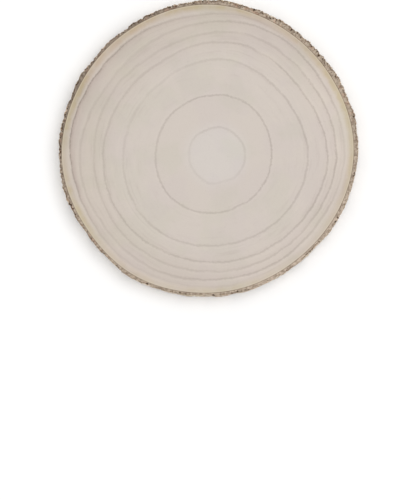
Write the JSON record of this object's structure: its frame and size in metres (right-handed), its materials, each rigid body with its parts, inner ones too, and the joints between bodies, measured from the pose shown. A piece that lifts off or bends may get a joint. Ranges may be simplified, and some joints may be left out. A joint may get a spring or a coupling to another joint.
{
  "type": "wood slice",
  "caption": "Thin round slice sawn across a young trunk, smooth pale faces with widely spaced growth rings, and rough grey bark left on round the edge.",
  "frame": {"origin": "middle of the slice's outline, on the lower cut face", "axes": "+Z along the trunk, up through the upper cut face; the pith lies off the middle, mostly towards +X"},
  "size_m": [0.258, 0.255, 0.0216],
  "materials": {
    "cut_wood": "smooth sanded end grain, bare and matt, pale beige with faint grey ring lines",
    "bark": "rough dry bark, warm grey with dark brown pits and crevices"
  },
  "bodies": {
    "root": {"wood_slice": "cut_wood"}
  },
  "joints": []
}
